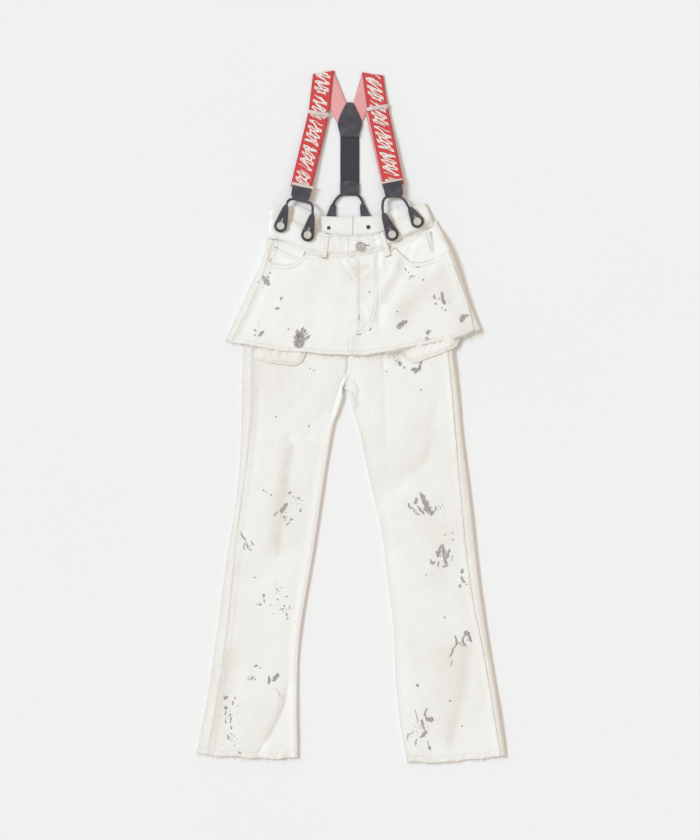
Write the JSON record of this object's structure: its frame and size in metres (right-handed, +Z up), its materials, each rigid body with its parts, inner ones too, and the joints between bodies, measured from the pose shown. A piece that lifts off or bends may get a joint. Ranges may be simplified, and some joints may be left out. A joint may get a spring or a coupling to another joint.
{
  "type": "pair of trousers with overskirt and suspenders",
  "caption": "Off-white denim boot-cut trousers under a cut-off denim overskirt, paint spattered, with button-on Y-back suspenders, laid flat front up.",
  "frame": {"origin": "centre of the garment's bounding box in plan, on the surface it lies on", "axes": "+Z up from the surface, the front of the garment facing +Z; +Y from the leg hems towards the suspenders; +X to the right seen from above"},
  "size_m": [0.5734, 1.2814, 0.0208],
  "materials": {
    "denim": "matt off-white cotton twill with grey paint marks",
    "pocketing": "matt cream plain weave",
    "webbing": "matt woven ribbon, red with a pale motif, pink melange on the reverse",
    "leather": "satin charcoal leather",
    "elastic": "matt ribbed elastic",
    "slider_metal": "satin nickel plate",
    "button_metal": "worn nickel plate"
  },
  "bodies": {
    "root": {"trousers_back_left": "denim", "trousers_back_right": "denim", "trousers_front_left": "denim", "trousers_front_right": "denim", "skirt_front_left": "denim", "skirt_back_left": "denim", "skirt_front_right": "denim", "skirt_back_right": "denim", "waistband_left": "denim", "waistband_right": "denim", "pocket_facing_left": "denim", "pocket_facing_right": "denim", "coin_pocket": "denim", "belt_loop_left": "denim", "belt_loop_right": "denim", "pocket_bag_left": "pocketing", "pocket_bag_right": "pocketing", "strap_left": "webbing", "strap_right": "webbing", "strap_return_left": "webbing", "strap_return_right": "webbing", "back_button_tab_left": "leather", "back_button_tab_right": "leather", "front_button_tab_left_outer": "leather", "front_button_tab_left_inner": "leather", "front_button_tab_right_inner": "leather", "front_button_tab_right_outer": "leather", "loop_cord_front_left": "leather", "loop_cord_front_right": "leather", "loop_cord_back": "leather", "leather_end_left": "leather", "leather_end_right": "leather", "leather_end_back": "leather", "yoke_patch": "leather", "elastic": "elastic", "strap_bar_left": "slider_metal", "strap_bar_right": "slider_metal", "slider_left": "slider_metal", "slider_right": "slider_metal", "slider_lever_left": "slider_metal", "slider_lever_right": "slider_metal", "jeans_button": "button_metal", "front_button_left_outer": "button_metal", "front_button_left_inner": "button_metal", "front_button_right_inner": "button_metal", "front_button_right_outer": "button_metal", "back_button_left": "button_metal", "back_button_right": "button_metal"}
  },
  "joints": []
}
